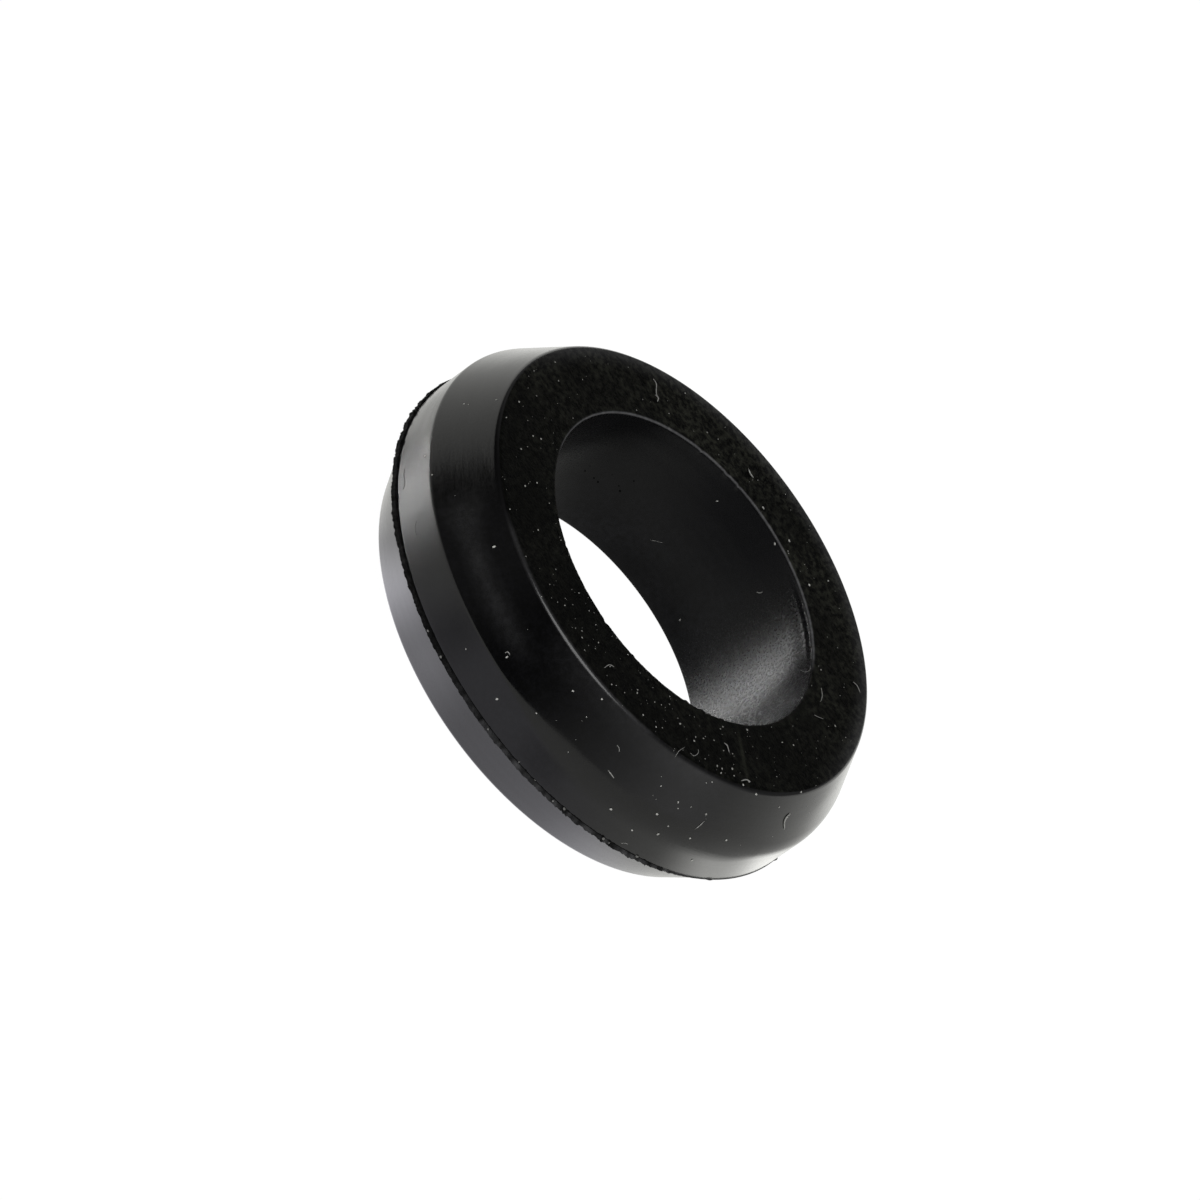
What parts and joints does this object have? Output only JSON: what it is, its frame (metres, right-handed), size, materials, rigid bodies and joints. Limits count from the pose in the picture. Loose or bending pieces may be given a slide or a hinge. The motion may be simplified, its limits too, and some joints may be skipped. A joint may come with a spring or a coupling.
{
  "type": "rubber washer",
  "caption": "Thick moulded rubber washer with a straight bore, flat faces and bevels on both outer edges.",
  "frame": {"origin": "centre of the back face, on the bore axis, where the washer rests on a table", "axes": "+Z along the bore axis, from the back face to the front face; X and Y are any pair square to it"},
  "size_m": [0.02, 0.02, 0.006],
  "materials": {
    "rubber": "matte moulded black rubber"
  },
  "bodies": {
    "root": {"washer": "rubber"}
  },
  "joints": []
}
